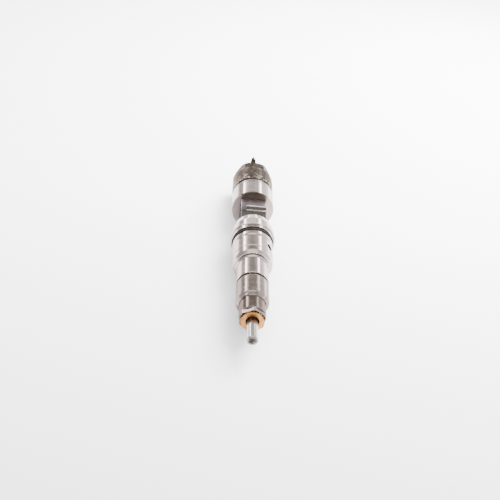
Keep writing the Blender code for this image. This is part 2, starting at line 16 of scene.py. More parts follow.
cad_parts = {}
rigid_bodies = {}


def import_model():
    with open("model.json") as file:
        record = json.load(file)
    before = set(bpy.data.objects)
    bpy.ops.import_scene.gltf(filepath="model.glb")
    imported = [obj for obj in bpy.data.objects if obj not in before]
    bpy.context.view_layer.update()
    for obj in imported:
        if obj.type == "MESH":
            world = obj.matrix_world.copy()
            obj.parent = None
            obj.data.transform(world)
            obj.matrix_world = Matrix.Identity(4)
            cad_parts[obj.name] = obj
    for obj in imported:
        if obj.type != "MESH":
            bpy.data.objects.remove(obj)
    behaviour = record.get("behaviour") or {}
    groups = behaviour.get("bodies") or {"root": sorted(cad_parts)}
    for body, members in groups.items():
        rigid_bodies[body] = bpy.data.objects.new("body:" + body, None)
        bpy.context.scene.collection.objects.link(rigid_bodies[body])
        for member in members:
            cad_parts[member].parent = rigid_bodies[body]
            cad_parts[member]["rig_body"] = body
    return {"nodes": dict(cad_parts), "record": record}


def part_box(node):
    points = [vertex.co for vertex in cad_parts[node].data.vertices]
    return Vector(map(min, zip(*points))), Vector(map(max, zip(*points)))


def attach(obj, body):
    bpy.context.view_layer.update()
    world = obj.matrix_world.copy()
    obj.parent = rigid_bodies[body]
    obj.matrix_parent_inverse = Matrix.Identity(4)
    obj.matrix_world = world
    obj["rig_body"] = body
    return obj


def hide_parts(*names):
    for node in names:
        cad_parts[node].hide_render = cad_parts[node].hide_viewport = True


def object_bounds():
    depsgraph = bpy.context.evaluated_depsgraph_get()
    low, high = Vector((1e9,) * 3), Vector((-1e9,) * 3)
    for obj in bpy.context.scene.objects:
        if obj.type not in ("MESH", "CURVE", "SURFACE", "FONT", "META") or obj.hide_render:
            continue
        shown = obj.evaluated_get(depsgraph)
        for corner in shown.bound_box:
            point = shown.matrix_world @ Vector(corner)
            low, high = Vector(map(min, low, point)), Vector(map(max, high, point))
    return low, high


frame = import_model()
CAD_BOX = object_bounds()

MM = 0.001
SEAT_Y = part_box("copper_seal_washer")[0].y
ROUND = 144
FINE = 72
CORNER_REACH = 0.25
CORNER_STEPS = 4
SHARP = math.radians(32)


def station_span(node):
    """Front and back stations of a CAD node."""
    low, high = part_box(node)
    return (low.y - SEAT_Y) / MM, (high.y - SEAT_Y) / MM


# Nozzle end.
NOZZLE_TIP, NOZZLE_TOP = station_span("nozzle_body")
NOZZLE_CONE = -17.0
NOZZLE_RADIUS = 3.5
NOZZLE_SHOULDER = 5.8
NOZZLE_COLLAR_RADIUS = 7.05
NEEDLE_BORE = 2.3
NEEDLE_SEAT_BORE = 1.5
SPRAY_STATION = -18.1
SPRAY_HOLES = 8
WASHER_FRONT, WASHER_BACK = station_span("copper_seal_washer")
WASHER_RADIUS = 7.4
WASHER_BORE = 4.2
WASHER_TEETH = 26
TOOTH_DEPTH = 0.55
NUT_FRONT, NUT_BACK = station_span("nozzle_retaining_nut")
NUT_HEX_BACK = 4.9
NUT_HEX_FLATS = 15.0
NUT_HEX_ANGLE = math.radians(34.8)
NUT_NECK_RADIUS = 8.5
NUT_NECK_BACK = 16.0
NUT_RADIUS = 10.5
NUT_HOLE_RADIUS = 3.9
NUT_HOLE_BACK = 5.4
NUT_BORE = 7.4
NUT_THREAD_BORE = 8.8

# Injector body, from the nozzle end back.
BODY_FRONT, BODY_BACK = station_span("injector_body")
BODY_SHOULDER = 36.9
BODY_THREAD_RADIUS = 8.5
LOWER_RADIUS = 10.6
LOWER_BACK = 54.2
TAPER_GROOVE_FRONT, TAPER_GROOVE_BACK = 55.1, 56.2
TAPER_GROOVE_RADIUS = 10.9
INLET_LAND_FRONT = 58.5
INLET_LAND_RADIUS = 13.7
SEAL_LAND_RADIUS = 14.0
RING_GROOVE_FRONT, RING_GROOVE_BACK = 80.6, 84.8
RING_GROOVE_RADIUS = 10.5
RING_MAJOR, RING_MINOR = 12.9, 1.6
COLLAR_RADIUS = 15.5
COLLAR_FRONT, COLLAR_BACK = 88.6, 95.4
NECK_FRONT, NECK_BACK = 101.5, 130.2
NECK_HALF_WIDTH = 9.25
NECK_CORNER = 0.8
SLOT_FRONT, SLOT_BACK = 115.9, 120.9
SLOT_LEFT = -5.0
SLOT_DEPTH = 1.0
FLANGE_RADIUS = 15.55
FLANGE_BACK = 149.5
FLANGE_BAND = 145.7
RELIEF_RADIUS = 15.0
CAP_THREAD_RADIUS = 13.3

# Inlet and bores inside the body.
INLET_STATION = 69.5
INLET_ANGLE = math.radians(52)
INLET_LIP_RADIUS = 3.0
INLET_MOUTH_RADIUS = 2.6
INLET_BORE_RADIUS = 1.1
SPRING_CHAMBER_RADIUS = 4.1
SPRING_CHAMBER_BACK = 56.0
PLUNGER_BORE_RADIUS = 2.5
VALVE_STEM_FRONT = 119.7
VALVE_STEM_BORE = 4.65
VALVE_HEAD_FRONT = 135.0
VALVE_HEAD_BORE = 9.3
CHAMBER_FRONT = 141.1
CHAMBER_RADIUS = 10.9
SHIM_STEP = 159.0
SHIM_STEP_RADIUS = 12.0

# Solenoid end.
CAP_FRONT, CAP_BACK = station_span("solenoid_cap_nut")
CAP_RADIUS = 15.45
CAP_RIM_RADIUS = 13.0
CAP_HEX_FRONT = 169.3
CAP_HEX_FLATS = 27.0
CAP_BORE = 13.6
CAP_STEP = 167.9
CAP_REAR_BORE = 12.25
CAP_HOLE = 9.0
CAP_WALL = 3.2
INSULATOR_FRONT, INSULATOR_BACK = station_span("terminal_insulator")
INSULATOR_RADIUS = 8.65
STUD_FRONT, STUD_BACK = station_span("terminal_stud_upper")
STUD_RADIUS = 2.0
STUD_PITCH = 0.7
STUD_THREAD_DEPTH = 0.28
STUD_COLLAR_FRONT, STUD_COLLAR_BACK = 183.8, 185.2
STUD_COLLAR_RADIUS = 2.7
STUD_SHANK_RADIUS = 1.25
STUD_FOOT_BACK = 172.2
STUD_FOOT_RADIUS = 0.7

# The camera, and the studio with it, is turned this far round the injector's axis.
CAMERA_ROLL = math.radians(6)


# Shapes ---------------------------------------------------------------------------------------------


def around(radius, angle, station, z=0.0):
    """Point in metres, at a radius from an axis along Y that lies z above the injector's own."""
    return Vector((
        radius * MM * math.sin(angle),
        SEAT_Y + station * MM,
        z * MM + radius * MM * math.cos(angle),
    ))


def softened(outline, ring=False):
    """The outline with each corner rounded. A third number in a point is that corner's own reach."""
    rounded = []
    last = len(outline) - 1
    for i, (station, radius, *own) in enumerate(outline):
        here = Vector((station, radius))
        before = Vector(outline[i - 1][:2])
        after = Vector(outline[(i + 1) % len(outline)][:2])
        size = own[0] if own else CORNER_REACH
        if (not ring and i in (0, last)) or size == 0:
            rounded.append(tuple(here))
            continue
        near = here + (before - here) * min(0.45, size / (before - here).length)
        far = here + (after - here) * min(0.45, size / (after - here).length)
        for step in range(CORNER_STEPS + 1):
            t = step / CORNER_STEPS
            rounded.append(tuple(near * (1 - t) ** 2 + here * (2 * t * (1 - t)) + far * t ** 2))
    return rounded


def refined(outline, longest, start, end):
    """The outline with its runs between start and end divided into pieces no longer than longest.

    A run counts if its middle lies between the two stations.
    """
    points = [outline[0]]
    for (station, radius), (next_station, next_radius) in zip(outline, outline[1:]):
        length = math.dist((station, radius), (next_station, next_radius))
        inside = start < (station + next_station) / 2 < end
        pieces = math.ceil(length / longest) if inside else 1
        for i in range(1, pieces + 1):
            t = i / pieces
            points.append((station + (next_station - station) * t, radius + (next_radius - radius) * t))
    return points


def soft_min(a, b, width):
    """The smaller of two numbers, with a rounded change from one to the other."""
    t = min(max(0.5 + 0.5 * (b - a) / width, 0.0), 1.0)
    return b + (a - b) * t - width * t * (1 - t)


def ramp_up(value, start, end):
    """0 before start and 1 after end, with a smooth rise between."""
    t = min(max((value - start) / (end - start), 0.0), 1.0)
    return t * t * (3 - 2 * t)


def hexagon_radius(angle, across_flats, first_flat):
    """Radius of a hexagon at an angle, one of whose flats faces the angle first_flat."""
    turned_by = (angle - first_flat + math.pi / 6) % (math.pi / 3) - math.pi / 6
    return across_flats / 2 / math.cos(turned_by)


def skin(name, loops, ring=False):
    """Closed surface over loops of points, capped at both ends, or joined end to end as a ring."""
    shape = bmesh.new()
    rows = [[shape.verts.new(point) for point in loop] for loop in loops]
    pairs = list(zip(rows, rows[1:]))
    if ring:
        pairs.append((rows[-1], rows[0]))
    for first, second in pairs:
        count = max(len(first), len(second))
        for i in range(count):
            j = (i + 1) % count
            corners = [
                first[i % len(first)], first[j % len(first)],
                second[j % len(second)], second[i % len(second)],
            ]
            shape.faces.new(list(dict.fromkeys(corners)))
    if not ring:
        for row in (rows[0], rows[-1]):
            if len(row) > 2:
                shape.faces.new(row)
    bmesh.ops.recalc_face_normals(shape, faces=shape.faces)
    mesh = bpy.data.meshes.new(name)
    shape.to_mesh(mesh)
    shape.free()
    obj = bpy.data.objects.new(name, mesh)
    bpy.context.scene.collection.objects.link(obj)
    return obj


def revolved(name, outline, count=ROUND, shape=None, z=0.0):
    """The outline turned about the axis. shape(station, radius, angle) may change a point's radius."""
    loops = []
    for station, radius in outline:
        if radius < 1e-6:
            loops.append([around(0, 0, station, z)])
            continue
        loop = []
        for i in range(count):
            angle = math.tau * (i + 0.5) / count
            shaped = shape(station, radius, angle) if shape else radius
            loop.append(around(shaped, angle, station, z))
        loops.append(loop)
    return skin(name, loops, ring=all(len(loop) > 1 for loop in loops))


def rounded_square(half_width, corner, station, steps=6):
    """Points round a square whose corners are arcs of this many steps."""
    points = []
    reach = (half_width - corner) * math.sqrt(2)
    for quarter in range(4):
        middle = math.pi / 4 + quarter * math.pi / 2
        for i in range(steps + 1):
            angle = middle - math.pi / 4 + math.pi / 2 * i / steps
            points.append(around(reach, middle, station) + (around(corner, angle, 0) - around(0, 0, 0)))
    return points


def rectangle(left, right, front, back, height):
    """Four corners of a level rectangle, in millimetres across, along and up."""
    corners = ((left, front), (right, front), (right, back), (left, back))
    return [Vector((x * MM, SEAT_Y + station * MM, height * MM)) for x, station in corners]


def combine(obj, other, operation):
    """Join another object to this one, or cut it away, and remove it."""
    boolean = obj.modifiers.new(other.name, "BOOLEAN")
    boolean.operation = operation
    boolean.solver = "EXACT"
    boolean.object = other
    graph = bpy.context.evaluated_depsgraph_get()
    result = bpy.data.meshes.new_from_object(obj.evaluated_get(graph))
    obj.modifiers.clear()
    obj.data = result
    bpy.data.objects.remove(other)


def turn_outwards(obj, angle, station):
    """Move a shape turned about the axis so that its stations run outwards from the axis."""
    out = Vector((math.sin(angle), 0, math.cos(angle)))
    rotation = Vector((0, 1, 0)).rotation_difference(out).to_matrix().to_4x4()
    centre = around(0, 0, station)
    obj.data.transform(Matrix.Translation(centre) @ rotation @ Matrix.Translation(-around(0, 0, 0)))
    return obj


def shade(obj):
    """Smooth shading that keeps flat faces flat and creases sharp."""
    obj.data.shade_smooth()
    obj.data.set_sharp_from_angle(angle=SHARP)
    weighted = obj.modifiers.new("Normals", "WEIGHTED_NORMAL")
    weighted.keep_sharp = True


def finish_piece(obj, node, paints, choose=None):
    """Give a new piece its materials, and let it stand for a CAD node on that node's body."""
    for paint in paints:
        obj.data.materials.append(paint)
    if choose:
        for face in obj.data.polygons:
            centre = face.center
            station = (centre.y - SEAT_Y) / MM
            radius = math.hypot(centre.x, centre.z) / MM
            face.material_index = choose(station, radius, face)
    shade(obj)
    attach(obj, frame["nodes"][node]["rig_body"])
    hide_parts(node)
    return obj


# Materials ------------------------------------------------------------------------------------------


def set_stops(node, stops):
    """Fill a colour ramp with stops of (place, colour or grey)."""
    elements = node.color_ramp.elements
    while len(elements) < len(stops):
        elements.new(1.0)
    for element, (place, value) in zip(elements, stops):
        element.position = place
        element.color = (*value, 1) if isinstance(value, tuple) else (value, value, value, 1)


class Paint:
    """One material's nodes, with short calls for those that repeat."""

    def __init__(self, name, metallic, **settings):
        self.material = bpy.data.materials.new(name)
        self.material.use_nodes = True
        self.nodes = self.material.node_tree.nodes
        self.links = self.material.node_tree.links
        self.shader = self.nodes["Principled BSDF"]
        self.shader.inputs["Metallic"].default_value = metallic
        for socket, value in settings.items():
            self.shader.inputs[socket.replace("_", " ")].default_value = value
        self.position = self.nodes.new("ShaderNodeTexCoord").outputs["Object"]

    def put(self, node, inputs):
        """Link or set a node's inputs."""
        for socket, value in inputs.items():
            if isinstance(value, bpy.types.NodeSocket):
                self.links.new(value, node.inputs[socket])
            else:
                node.inputs[socket].default_value = value
        return node

    def scaled(self, x, y, z):
        """Position multiplied along each axis, in repeats per metre."""
        node = self.nodes.new("ShaderNodeMapping")
        node.vector_type = "TEXTURE"
        return self.put(node, {"Vector": self.position, "Scale": (1 / x, 1 / y, 1 / z)}).outputs[0]

    def noise(self, scale, detail=3.0, roughness=0.55, distortion=0.0):
        """Noise with this many features per metre, or a different number along each axis."""
        sizes = scale if isinstance(scale, tuple) else (scale,) * 3
        node = self.nodes.new("ShaderNodeTexNoise")
        return self.put(node, {
            "Vector": self.scaled(*sizes), "Scale": 1.0, "Detail": detail,
            "Roughness": roughness, "Distortion": distortion,
        }).outputs[0]

    def cells(self, scale):
        """Distance from the middle of the nearest cell."""
        node = self.nodes.new("ShaderNodeTexVoronoi")
        return self.put(node, {
            "Vector": self.scaled(scale, scale, scale), "Scale": 1.0,
        }).outputs["Distance"]

    def ramp(self, factor, *stops):
        """Colour or grey by factor. Each stop is (place, colour or grey)."""
        node = self.nodes.new("ShaderNodeValToRGB")
        set_stops(node, stops)
        return self.put(node, {"Fac": factor}).outputs[0]

    def mixed(self, factor, a, b):
        """Colour a where the factor is 0 and colour b where it is 1."""
        node = self.nodes.new("ShaderNodeMix")
        node.data_type = "RGBA"
        first_color, second_color, result = 6, 7, 2
        colors = {}
        for socket, value in ((first_color, a), (second_color, b)):
            colors[socket] = (*value, 1) if isinstance(value, tuple) else value
        return self.put(node, {0: factor, **colors}).outputs[result]

    def maths(self, operation, a, b=0.0, clamp=False):
        node = self.nodes.new("ShaderNodeMath")
        node.operation = operation
        node.use_clamp = clamp
        return self.put(node, {0: a, 1: b}).outputs[0]

    def ranged(self, value, low, high, start=0.0, end=1.0):
        """Value moved from the range low to high into the range start to end."""
        node = self.nodes.new("ShaderNodeMapRange")
        return self.put(node, {
            "Value": value, "From Min": low, "From Max": high, "To Min": start, "To Max": end,
        }).outputs[0]

    def axes(self):
        """The position's X, Y and Z."""
        split = self.nodes.new("ShaderNodeSeparateXYZ")
        self.links.new(self.position, split.inputs[0])
        return split.outputs

    def along(self, start, end):
        """0 before the station start and 1 after the station end."""
        _, y, _ = self.axes()
        return self.ranged(y, SEAT_Y + start * MM, SEAT_Y + end * MM)

    def edges(self, low, high):
        """0 on flat places and 1 on worn outer edges."""
        pointiness = self.nodes.new("ShaderNodeNewGeometry").outputs["Pointiness"]
        return self.ranged(pointiness, low, high)

    def bump(self, *heights):
        """Each height is (value, depth in metres)."""
        normal = None
        for value, depth in heights:
            node = self.nodes.new("ShaderNodeBump")
            self.put(node, {"Height": value, "Distance": depth, "Strength": 1.0})
            if normal:
                self.links.new(normal, node.inputs["Normal"])
            normal = node.outputs[0]
        self.links.new(normal, self.shader.inputs["Normal"])

    def finish(self, color, roughness):
        self.links.new(color, self.shader.inputs["Base Color"])
        self.links.new(roughness, self.shader.inputs["Roughness"])
        return self.material


def steel(name, dark, light, roughness, streaks, smudge=180, wear=None, depth=1.2e-6, pits=0.0,
          anisotropy=0.0, edge_tint=(1, 1, 1)):
    """Machined steel.

    dark and light are the ends of its colour, and roughness holds its lowest and highest. streaks is
    the number of tool marks per metre along X, Y and Z, and smudge that of the marks left by handling.
    wear is the colour of worn edges, depth the height of the tool marks in metres, pits how dark the
    pits are, and edge_tint the tint of what it mirrors at a slant.
    """
    paint = Paint(name, 1.0, Anisotropic=anisotropy, Specular_Tint=(*edge_tint, 1))
    if anisotropy:
        tangent = paint.nodes.new("ShaderNodeTangent")
        tangent.direction_type = "RADIAL"
        tangent.axis = "Y"
        paint.links.new(tangent.outputs[0], paint.shader.inputs["Tangent"])
    marks = paint.noise(streaks, detail=4.0, roughness=0.7)
    handling = paint.noise(smudge, detail=5.0, roughness=0.6, distortion=0.8)
    speckle = paint.noise(2600, detail=2.0)
    tone = paint.maths("ADD", paint.maths("MULTIPLY", handling, 0.6), paint.maths("MULTIPLY", marks, 0.4))
    color = paint.mixed(paint.ranged(tone, 0.35, 0.65), dark, light)
    if pits:
        spots = paint.ramp(paint.noise(900, detail=4.0, roughness=0.7), (0.62, 0.0), (0.72, 1.0))
        color = paint.mixed(paint.maths("MULTIPLY", spots, pits), color, tuple(0.45 * c for c in dark))
    if wear:
        patches = paint.ranged(speckle, 0.35, 0.6)
        worn = paint.maths("MULTIPLY", paint.edges(0.505, 0.56), patches, clamp=True)
        color = paint.mixed(worn, color, wear)
    low, high = roughness
    uneven = paint.maths("ADD", handling, paint.maths("MULTIPLY", marks, 0.5))
    rough = paint.ranged(uneven, 0.5, 1.0, low, high)
    paint.bump((marks, depth), (speckle, depth * 0.6))
    return paint.finish(color, rough)


def milled_neck():
    """Flat top of the neck: darker towards the collar, with a painted reflection, a light band, towards
    the flange.
    """
    paint = Paint("ground_steel_neck", 1.0)
    marks = paint.noise(MILLED, detail=4.0, roughness=0.7)
    blotches = paint.noise((90, 150, 90), detail=5.0, roughness=0.6, distortion=0.9)
    shift = paint.maths("MULTIPLY", paint.maths("SUBTRACT", blotches, 0.5), 0.28)
    place = paint.maths("ADD", paint.along(NECK_FRONT, NECK_BACK), shift)
    # Painted reflection: the colour runs along the neck, darker towards the collar, with a light lavender
    # band towards the flange.
    color = paint.ramp(
        place,
        (0.0, (0.100, 0.092, 0.082)), (0.36, (0.046, 0.041, 0.034)), (0.46, (0.060, 0.054, 0.047)),
        (0.62, (0.20, 0.182, 0.20)), (0.74, (0.44, 0.40, 0.41)), (0.82, (0.46, 0.42, 0.43)),
        (0.93, (0.52, 0.47, 0.49)), (1.0, (0.30, 0.25, 0.22)),
    )
    color = paint.mixed(paint.ranged(marks, 0.35, 0.65, 0.0, 0.3), color, (0.05, 0.042, 0.036))
    paint.bump((marks, 2e-6))
    return paint.finish(color, paint.ranged(blotches, 0.3, 0.7, 0.24, 0.38))


def gap_shade_paint():
    """Painted shade: near-black, with a little grain, for narrow gaps, grooves and hollows."""
    paint = Paint("painted_gap_shade", 0.0, Specular_IOR_Level=0.06)
    clumps = paint.noise(900, detail=5.0, roughness=0.7)
    grain = paint.noise(4800, detail=2.0)
    color = paint.ramp(clumps, (0.35, (0.0105, 0.0082, 0.0070)), (0.70, (0.0240, 0.0190, 0.0160)))
    paint.bump((grain, 3e-6), (clumps, 8e-6))
    return paint.finish(color, paint.ranged(clumps, 0.3, 0.7, 0.55, 0.8))


def milled_face():
    """Face of the flange behind the neck, with painted shade, dark brown, where it stands over the neck's
    top.
    """
    paint = Paint("ground_steel_face", 1.0)
    x, _, z = paint.axes()
    marks = paint.noise((2600, 30, 30), detail=4.0, roughness=0.7)
    blotches = paint.noise(160, detail=5.0, roughness=0.6, distortion=0.7)
    color = paint.mixed(paint.ranged(marks, 0.35, 0.65), (0.27, 0.215, 0.205), (0.37, 0.315, 0.305))
    # Painted shade on the part of the face that stands over the neck's top.
    above_neck = paint.ranged(z, 8.0 * MM, 9.2 * MM)
    over_neck = paint.ranged(paint.maths("ABSOLUTE", x), 9.6 * MM, 9.0 * MM)
    shade_over_neck = paint.maths("MULTIPLY", above_neck, over_neck, clamp=True)
    amount = paint.maths("MULTIPLY", shade_over_neck, paint.ranged(blotches, 0.3, 0.6, 0.82, 1.0))
    shade_color = paint.ramp(blotches, (0.35, (0.050, 0.039, 0.030)), (0.65, (0.105, 0.083, 0.068)))
    color = paint.mixed(amount, color, shade_color)
    paint.bump((marks, 1.2e-6), (blotches, 4e-6))
    return paint.finish(color, paint.ranged(blotches, 0.3, 0.7, 0.26, 0.40))


def nozzle_paint():
    """Nozzle steel: ground shaft, with painted shade where it leaves the washer, and darker at its tip."""
    paint = Paint("bright_steel_nozzle", 1.0)
    marks = paint.noise(GROUND, detail=4.0, roughness=0.7)
    dark_blotches = paint.noise(700, detail=5.0, roughness=0.65, distortion=0.5)
    color = paint.mixed(paint.ranged(marks, 0.35, 0.65), (0.36, 0.315, 0.295), (0.48, 0.44, 0.42))
    # Painted shade on the shaft where it leaves the washer's bore.
    washer_shade = paint.along(-5.5, -2.5)
    tip = paint.maths("SUBTRACT", 1.0, paint.along(-18.2, -16.6))
    darkened = paint.maths("MAXIMUM", washer_shade, tip)
    amount = paint.maths("MULTIPLY", darkened, paint.ranged(dark_blotches, 0.25, 0.6, 0.5, 1.0))
    color = paint.mixed(amount, color, (0.022, 0.018, 0.016))
    clean_rough = paint.ranged(dark_blotches, 0.3, 0.7, 0.12, 0.22)
    rough = paint.maths("ADD", clean_rough, paint.maths("MULTIPLY", amount, 0.26))
    paint.bump((marks, 1.2e-6), (dark_blotches, 3e-6))
    return paint.finish(color, rough)


def dark_cap():
    """Blotchy phosphate with bright scuffs, most of them near the front edge."""
    paint = Paint("dark_steel_phosphated", 1.0, Specular_Tint=(0.62, 0.57, 0.54, 1))
    clouds = paint.noise(150, detail=6.0, roughness=0.65, distortion=0.6)
    grain = paint.noise(1500, detail=3.0)
    flecks = paint.noise((420, 700, 420), detail=4.0, roughness=0.6)
    scuffs = paint.ramp(flecks, (0.53, 0.0), (0.60, 1.0))
    stain = paint.ramp(paint.noise(210, detail=5.0, roughness=0.7), (0.50, 0.0), (0.62, 1.0))
    color = paint.ramp(
        clouds,
        (0.32, (0.032, 0.026, 0.022)), (0.5, (0.054, 0.046, 0.040)), (0.7, (0.086, 0.074, 0.065)),
    )
    color = paint.mixed(paint.maths("MULTIPLY", stain, 0.55), color, (0.024, 0.018, 0.015))
    front = paint.maths("SUBTRACT", 1.0, paint.along(CAP_FRONT + 1.0, CAP_FRONT + 9.0))
    shiny = paint.maths("MULTIPLY", scuffs, paint.ranged(front, 0.0, 1.0, 0.12, 0.9))
    rim = paint.maths("MULTIPLY", paint.edges(0.51, 0.57), paint.ranged(grain, 0.35, 0.6), clamp=True)
    shiny = paint.maths("MAXIMUM", shiny, rim)
    color = paint.mixed(shiny, color, (0.72, 0.63, 0.55))
    dull_rough = paint.ranged(clouds, 0.3, 0.7, 0.34, 0.48)
    rough = paint.maths("SUBTRACT", dull_rough, paint.maths("MULTIPLY", shiny, 0.1))
    paint.bump((grain, 5e-6), (clouds, 1.2e-5))
    return paint.finish(color, rough)


def copper_paint():
    """Soft copper with a fine grain and darker specks."""
    paint = Paint("copper_annealed", 1.0)
    clouds = paint.noise(420, detail=5.0, roughness=0.6)
    grain = paint.noise(2400, detail=3.0)
    color = paint.ramp(
        clouds, (0.3, (0.26, 0.112, 0.034)), (0.5, (0.40, 0.178, 0.056)), (0.7, (0.52, 0.255, 0.088)),
    )
    specks = paint.ranged(paint.cells(1500), 0.0, 0.35, 0.25, 0.0)
    color = paint.mixed(specks, color, (0.20, 0.085, 0.03))
    rough = paint.ranged(grain, 0.3, 0.7, 0.26, 0.46)
    paint.bump((grain, 6e-6), (clouds, 1.5e-5))
    return paint.finish(color, rough)


def rubber_paint():
    """Black rubber with a little dust."""
    paint = Paint("rubber_ring", 0.0, Specular_IOR_Level=0.12)
    dust = paint.noise(600, detail=5.0, roughness=0.7)
    grain = paint.noise(5200, detail=2.0)
    color = paint.ramp(dust, (0.35, (0.007, 0.005, 0.0045)), (0.75, (0.020, 0.0155, 0.0135)))
    paint.bump((grain, 3e-6), (dust, 6e-6))
    return paint.finish(color, paint.ranged(dust, 0.3, 0.7, 0.6, 0.8))


def plastic_paint(name, dark, light):
    """Moulded plastic with a fine grain and flow marks."""
    paint = Paint(name, 0.0, Specular_IOR_Level=0.15)
    flow = paint.noise((120, 700, 120), detail=4.0)
    grain = paint.noise(4200, detail=3.0)
    paint.bump((grain, 4e-6), (flow, 8e-6))
    color = paint.ramp(paint.mixed(0.4, flow, grain), (0.35, dark), (0.65, light))
    return paint.finish(color, paint.ranged(grain, 0.3, 0.7, 0.45, 0.65))


def wire_paint():
    """Enamelled winding, with turns that lie side by side along the axis."""
    paint = Paint("winding_wire_enamelled", 1.0, Coat_Weight=0.6, Coat_Roughness=0.15)
    waves = paint.nodes.new("ShaderNodeTexWave")
    waves.bands_direction = "Y"
    paint.put(waves, {"Vector": paint.scaled(1, 1, 1), "Scale": 640.0, "Distortion": 0.0})
    tone = paint.noise(700, detail=3.0)
    color = paint.ramp(tone, (0.3, (0.30, 0.085, 0.03)), (0.7, (0.52, 0.19, 0.075)))
    paint.bump((waves.outputs[1], 1.0e-4))
    return paint.finish(color, paint.ranged(tone, 0.3, 0.7, 0.22, 0.4))


def iron_paint():
    """Pressed soft-magnetic iron: grains with dark joints."""
    paint = Paint("magnet_iron_pressed", 1.0)
    grains = paint.cells(2600)
    tone = paint.noise(500, detail=4.0)
    color = paint.ramp(tone, (0.3, (0.10, 0.10, 0.105)), (0.7, (0.20, 0.20, 0.205)))
    color = paint.mixed(paint.ranged(grains, 0.3, 0.7, 0.0, 0.6), color, (0.05, 0.048, 0.046))
    paint.bump((grains, 1.0e-5))
    return paint.finish(color, paint.ranged(tone, 0.3, 0.7, 0.38, 0.6))


# Tool marks per metre along X, Y and Z.
TURNED = (30, 3600, 30)
GROUND = (12, 5200, 12)
MILLED = (60, 1500, 60)
PLATED = (900, 900, 900)

ground = steel(
    "ground_steel_turned", (0.35, 0.288, 0.262), (0.43, 0.370, 0.343), (0.10, 0.18), GROUND,
    wear=(0.60, 0.56, 0.54), anisotropy=0.5, edge_tint=(0.80, 0.74, 0.75),
)
# Darker steel for the band by the flange, also used as painted shade on the nut's step behind its hexagon.
band_steel_and_ledge_shade = steel(
    "ground_steel_band", (0.16, 0.135, 0.123), (0.23, 0.20, 0.185), (0.20, 0.34), TURNED, smudge=320,
)
face_milled = milled_face()
neck_top_with_reflection = milled_neck()
gap_shade = gap_shade_paint()
# Painted highlight: a much brighter copy of the steel for the slot's walls and edges.
slot_edge_highlight = steel(
    "ground_steel_slot_edge", (0.64, 0.58, 0.56), (0.82, 0.77, 0.75), (0.24, 0.36), MILLED,
    smudge=240,
)
neck_side = steel(
    "ground_steel_neck_side", (0.050, 0.041, 0.036), (0.110, 0.094, 0.086), (0.22, 0.36), MILLED,
    smudge=200, edge_tint=(0.12, 0.10, 0.09),
)
bright = steel(
    "bright_steel_ground", (0.36, 0.315, 0.290), (0.50, 0.455, 0.43), (0.10, 0.20), GROUND,
    wear=(0.62, 0.58, 0.56), anisotropy=0.4,
)
nozzle_steel = nozzle_paint()
phosphated = steel(
    "phosphated_steel_satin", (0.175, 0.141, 0.122), (0.245, 0.206, 0.184), (0.17, 0.27), TURNED,
    smudge=260, wear=(0.42, 0.37, 0.34), depth=2.5e-6, pits=0.3, edge_tint=(0.58, 0.51, 0.51),
)
nut_hexagon = steel(
    "phosphated_steel_hexagon", (0.20, 0.165, 0.142), (0.29, 0.245, 0.215), (0.15, 0.25), (60, 900, 60),
    smudge=260, wear=(0.50, 0.45, 0.41), pits=0.3, edge_tint=(0.50, 0.43, 0.42),
)
# Painted shade: a darker copy of the nut's phosphated steel for its neck.
nut_neck_shaded = steel(
    "phosphated_steel_neck_painted_shade", (0.120, 0.096, 0.082), (0.175, 0.145, 0.127), (0.15, 0.24), TURNED,
    smudge=260, depth=2.5e-6, pits=0.3, edge_tint=(0.52, 0.45, 0.44),
)
spring = steel(
    "spring_steel_oiled", (0.10, 0.10, 0.11), (0.20, 0.20, 0.215), (0.22, 0.36), PLATED,
)
stud = steel(
    "stud_steel_plated", (0.010, 0.008, 0.007), (0.030, 0.025, 0.021), (0.32, 0.45), PLATED,
    smudge=700, wear=(0.06, 0.053, 0.046), pits=0.4, edge_tint=(0.2, 0.18, 0.16),
)
dark = dark_cap()
copper = copper_paint()
rubber = rubber_paint()
black_plastic = plastic_paint("black_plastic_moulded", (0.012, 0.012, 0.012), (0.032, 0.031, 0.030))
white_plastic = plastic_paint("white_plastic_moulded", (0.50, 0.47, 0.40), (0.66, 0.63, 0.56))
SLOT_PAINT = {
    "ground_steel": ground, "bright_steel": bright, "phosphated_steel": phosphated,
    "dark_steel": dark, "spring_steel": spring, "stud_steel": stud, "magnet_iron": iron_paint(),
    "copper": copper, "winding_wire": wire_paint(), "rubber": rubber,
    "black_plastic": black_plastic, "white_plastic": white_plastic,
}


# Pieces ---------------------------------------------------------------------------------------------


def make_front_end():
    """Turned front end of the body, from the neck to the thread."""
    return revolved("body_steel", softened([
        (NECK_FRONT, 0, 0), (NECK_FRONT, 13.75), (COLLAR_BACK, 15.0, 0.4),
        (COLLAR_FRONT, COLLAR_RADIUS, 0.2), (COLLAR_FRONT - 0.3, 14.75, 0.15),
        (RING_GROOVE_BACK, 14.6, 0.15), (RING_GROOVE_BACK, RING_GROOVE_RADIUS),
        (RING_GROOVE_FRONT, RING_GROOVE_RADIUS), (RING_GROOVE_FRONT, SEAL_LAND_RADIUS, 0.15),
        (77.6, SEAL_LAND_RADIUS, 0.3), (75.7, INLET_LAND_RADIUS, 0.3),
        (63.7, INLET_LAND_RADIUS, 0.15), (63.4, 13.45, 0.15), (INLET_LAND_FRONT, 13.4, 0.5),
        (TAPER_GROOVE_BACK, 12.0, 0.1), (TAPER_GROOVE_BACK - 0.1, TAPER_GROOVE_RADIUS, 0.1),
        (TAPER_GROOVE_FRONT + 0.1, TAPER_GROOVE_RADIUS, 0.1), (TAPER_GROOVE_FRONT, 11.4, 0.1),
        (LOWER_BACK, LOWER_RADIUS, 0.1), (BODY_SHOULDER + 0.3, LOWER_RADIUS, 0.15),
        (BODY_SHOULDER, LOWER_RADIUS - 0.3, 0.1), (BODY_SHOULDER, BODY_THREAD_RADIUS),
        (23.0, BODY_THREAD_RADIUS), (BODY_FRONT, 7.9), (BODY_FRONT, 0, 0),
    ]))


